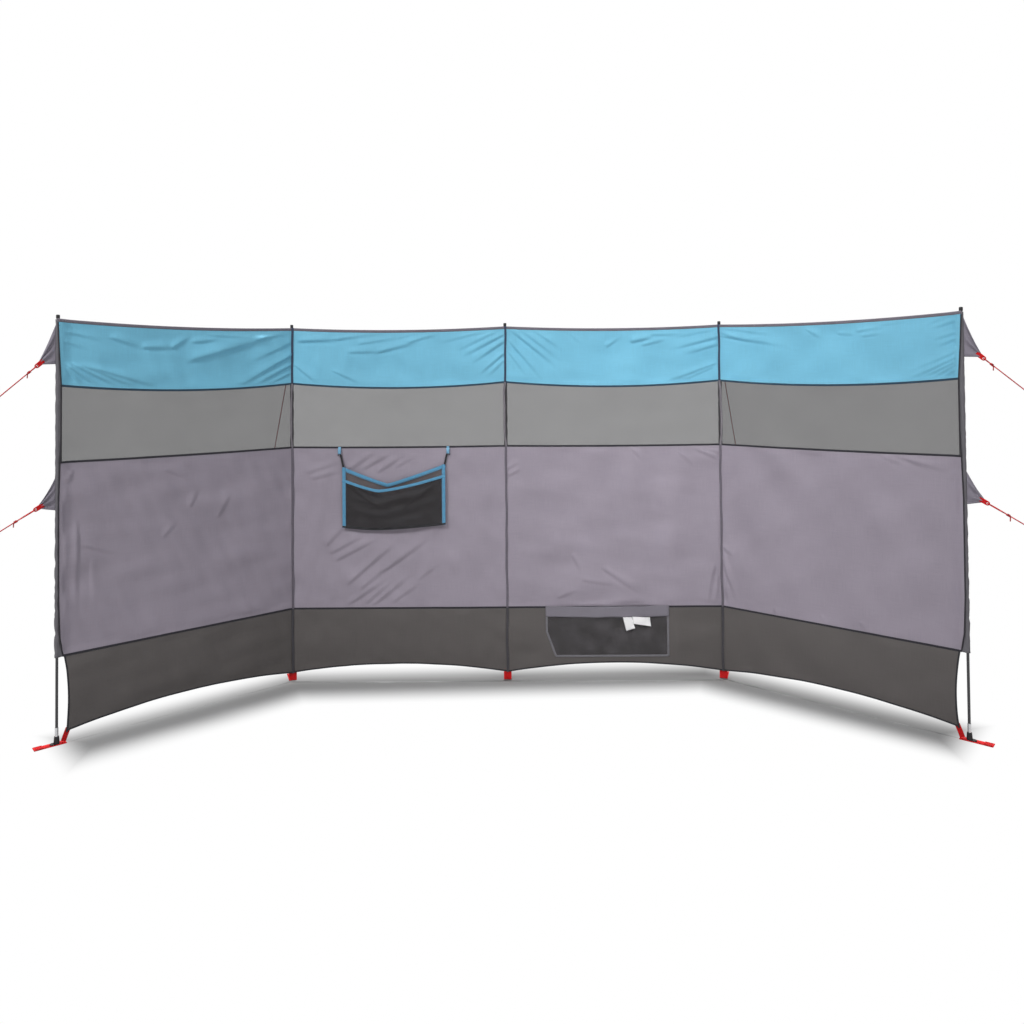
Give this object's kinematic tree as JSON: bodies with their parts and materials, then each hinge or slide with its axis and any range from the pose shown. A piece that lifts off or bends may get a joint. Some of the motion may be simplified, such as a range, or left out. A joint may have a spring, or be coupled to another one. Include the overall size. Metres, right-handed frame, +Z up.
{
  "type": "fabric windbreak",
  "caption": "Free-standing camping windbreak: banded cloth bays with a mesh window strip on upright poles, with guys to ground pegs, a hanging organiser and a skirt pocket.",
  "frame": {"origin": "on the floor under the centre pole", "axes": "+X to the right along the centre bays, +Y away from the sheltered side, +Z up"},
  "size_m": [5.5054, 2.9309, 1.52],
  "materials": {
    "blue_cloth": "plain woven polyester, slight sheen",
    "window_mesh": "fine knitted mesh, see-through",
    "lilac_cloth": "plain woven polyester, matt",
    "skirt_cloth": "plain woven polyester, matt",
    "sleeve_cloth": "plain woven polyester, matt",
    "grey_tape": "ribbed binding tape",
    "dark_tape": "ribbed binding tape",
    "blue_tape": "ribbed binding tape",
    "red_webbing": "woven webbing",
    "guy_rope": "braided, with dark flecks",
    "pocket_mesh": "open knitted mesh",
    "pole_rod": "glass-fibre rod",
    "black_plastic": "moulded",
    "bright_steel": "plated",
    "white_tag": "printed satin tape, blank"
  },
  "bodies": {
    "root": {"left_wing_top_band": "blue_cloth", "left_wing_mesh_band": "window_mesh", "left_wing_main_panel": "lilac_cloth", "left_wing_skirt": "skirt_cloth", "left_centre_top_band": "blue_cloth", "left_centre_mesh_band": "window_mesh", "left_centre_main_panel": "lilac_cloth", "left_centre_skirt": "skirt_cloth", "right_centre_top_band": "blue_cloth", "right_centre_mesh_band": "window_mesh", "right_centre_main_panel": "lilac_cloth", "right_centre_skirt": "skirt_cloth", "right_wing_top_band": "blue_cloth", "right_wing_mesh_band": "window_mesh", "right_wing_main_panel": "lilac_cloth", "right_wing_skirt": "skirt_cloth", "left_end_pole": "pole_rod", "left_end_sleeve": "sleeve_cloth", "left_inner_pole": "pole_rod", "left_inner_sleeve": "sleeve_cloth", "centre_pole": "pole_rod", "centre_sleeve": "sleeve_cloth", "right_inner_pole": "pole_rod", "right_inner_sleeve": "sleeve_cloth", "right_end_pole": "pole_rod", "right_end_sleeve": "sleeve_cloth", "top_hem": "grey_tape", "band_seams": "dark_tape", "skirt_hem": "dark_tape", "pole_seam_tapes": "dark_tape", "pole_caps": "black_plastic", "pole_ferrules": "bright_steel", "foot_cups": "black_plastic", "foot_straps": "red_webbing", "guy_gussets": "lilac_cloth", "guy_loops": "red_webbing", "upper_guys": "guy_rope", "lower_guys": "guy_rope", "guy_pegs": "bright_steel", "organiser_back": "pocket_mesh", "organiser_pocket": "pocket_mesh", "organiser_binding": "blue_tape", "organiser_hangers": "blue_tape", "organiser_hooks": "black_plastic", "skirt_pocket_mesh": "pocket_mesh", "skirt_pocket_binding": "grey_tape", "skirt_pocket_tags": "white_tag"}
  },
  "joints": []
}
